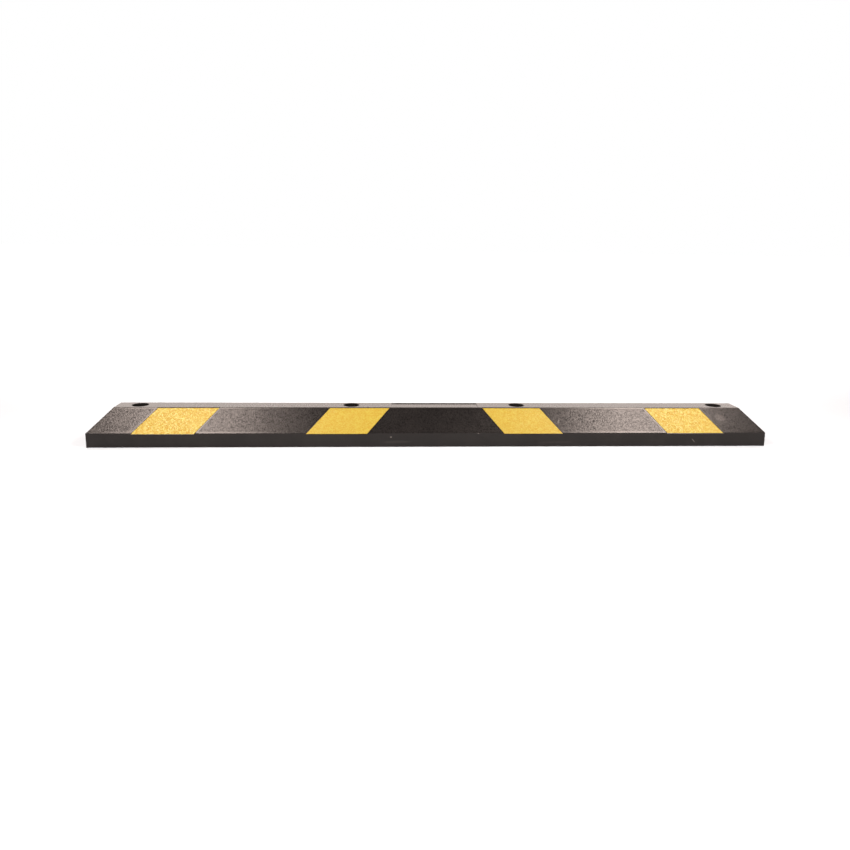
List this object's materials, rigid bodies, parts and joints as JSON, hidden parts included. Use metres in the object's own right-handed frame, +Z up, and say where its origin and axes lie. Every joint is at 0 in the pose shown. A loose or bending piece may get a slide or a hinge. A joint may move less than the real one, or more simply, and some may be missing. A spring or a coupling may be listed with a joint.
{
  "type": "parking wheel stop",
  "caption": "Long low moulded rubber wheel stop with sloped sides and ends, diagonal reflective inlays front and back, counterbored anchor holes and a cored underside.",
  "frame": {"origin": "on the ground under the middle of the block, which is the middle of the bounding box's underside", "axes": "+X along the block, +Y from the front towards the back, +Z up"},
  "size_m": [1.83, 0.152, 0.098],
  "materials": {
    "rubber": "moulded, semi-matt, finely stippled on the slopes",
    "reflective_sheeting": "glass-bead reflective, semi-gloss"
  },
  "bodies": {
    "root": {"rubber_body": "rubber", "inlay_front_left_end": "reflective_sheeting", "inlay_front_left_middle": "reflective_sheeting", "inlay_front_right_middle": "reflective_sheeting", "inlay_front_right_end": "reflective_sheeting", "inlay_back_left_end": "reflective_sheeting", "inlay_back_left_middle": "reflective_sheeting", "inlay_back_right_middle": "reflective_sheeting", "inlay_back_right_end": "reflective_sheeting"}
  },
  "joints": []
}
